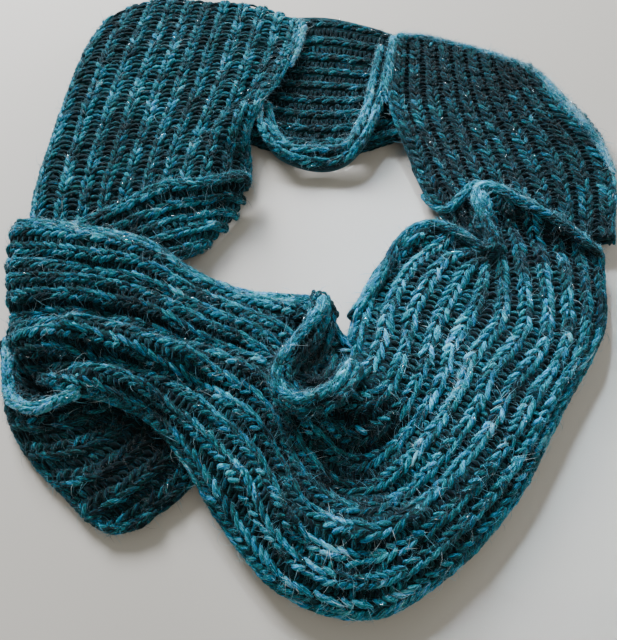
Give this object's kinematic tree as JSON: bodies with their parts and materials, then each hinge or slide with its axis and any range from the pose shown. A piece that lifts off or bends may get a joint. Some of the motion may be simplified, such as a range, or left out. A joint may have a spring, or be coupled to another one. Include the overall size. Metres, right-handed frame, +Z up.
{
  "type": "infinity scarf",
  "caption": "Bulky ribbed knit infinity scarf that loops round the neck for warmth, dropped flat and spread in a ring with a buckled pocket and a ruffled fold.",
  "frame": {"origin": "on the surface that the scarf lies on, under the middle of its outline", "axes": "+X to the right and +Y away from a person looking down at it from the ruffled fold's side, +Z up"},
  "size_m": [0.5956, 0.6594, 0.0547],
  "materials": {
    "knit_wool": "matt fuzzy wool and mohair, mottled teal",
    "folded_wool": "matt wool in shade"
  },
  "bodies": {
    "root": {"back_bridge": "knit_wool", "bridge_rim": "knit_wool", "right_lower_layer": "knit_wool", "left_lobe": "knit_wool", "left_panel": "knit_wool", "right_panel": "knit_wool", "left_under_fold": "knit_wool", "front_sweep": "knit_wool", "pocket": "knit_wool", "hidden_layers_left": "folded_wool", "hidden_layers_front": "folded_wool", "hidden_layers_right": "folded_wool", "hidden_layers_back": "folded_wool"}
  },
  "joints": []
}
